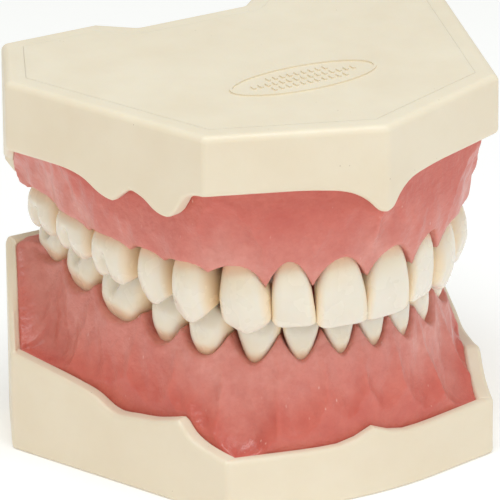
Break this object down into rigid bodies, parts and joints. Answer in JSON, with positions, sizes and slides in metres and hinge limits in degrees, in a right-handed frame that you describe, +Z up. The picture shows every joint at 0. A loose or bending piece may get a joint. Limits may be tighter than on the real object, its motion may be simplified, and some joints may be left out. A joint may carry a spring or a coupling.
{
  "type": "typodont model",
  "caption": "Hinged dental practice model: upper and lower jaws with screwed-in teeth, soft gum masks and plastic bases, closed in a normal bite.",
  "frame": {"origin": "on the table under the middle of the model, at the centre of its bounding box in plan", "axes": "+X towards the left side of the mouth, +Y from the front teeth to the back, +Z up"},
  "size_m": [0.078, 0.0627, 0.0611],
  "materials": {
    "base_plastic": "moulded ivory plastic, satin, with faint specks",
    "gum": "soft pink gum mask, slightly glossy, with fine fibres",
    "tooth": "tooth-coloured resin, smooth and slightly translucent",
    "steel": "plain stainless steel"
  },
  "bodies": {
    "lower_jaw": {"lower_base": "base_plastic", "lower_cover_plate": "base_plastic", "lower_gum_mask": "gum", "lower_hinge_leaf": "steel", "lower_hinge_screws": "steel", "lower_left_canine": "tooth", "lower_left_central_incisor": "tooth", "lower_left_first_molar": "tooth", "lower_left_first_premolar": "tooth", "lower_left_lateral_incisor": "tooth", "lower_left_second_molar": "tooth", "lower_left_second_premolar": "tooth", "lower_left_third_molar": "tooth", "lower_right_canine": "tooth", "lower_right_central_incisor": "tooth", "lower_right_first_molar": "tooth", "lower_right_first_premolar": "tooth", "lower_right_lateral_incisor": "tooth", "lower_right_second_molar": "tooth", "lower_right_second_premolar": "tooth", "lower_right_third_molar": "tooth", "lower_tooth_screws": "steel", "hinge_pin": "steel"},
    "upper_jaw": {"upper_base": "base_plastic", "upper_cover_plate": "base_plastic", "upper_gum_mask": "gum", "upper_hinge_leaf": "steel", "upper_hinge_screws": "steel", "upper_left_canine": "tooth", "upper_left_central_incisor": "tooth", "upper_left_first_molar": "tooth", "upper_left_first_premolar": "tooth", "upper_left_lateral_incisor": "tooth", "upper_left_second_molar": "tooth", "upper_left_second_premolar": "tooth", "upper_left_third_molar": "tooth", "upper_right_canine": "tooth", "upper_right_central_incisor": "tooth", "upper_right_first_molar": "tooth", "upper_right_first_premolar": "tooth", "upper_right_lateral_incisor": "tooth", "upper_right_second_molar": "tooth", "upper_right_second_premolar": "tooth", "upper_right_third_molar": "tooth", "upper_tooth_screws": "steel"}
  },
  "joints": [
    {"name": "jaw_hinge", "type": "hinge", "parent": "lower_jaw", "child": "upper_jaw", "pos_m": [0, 0.0292, 0.035], "axis": [-1, 0, 0], "range_deg": [0, 100]}
  ]
}
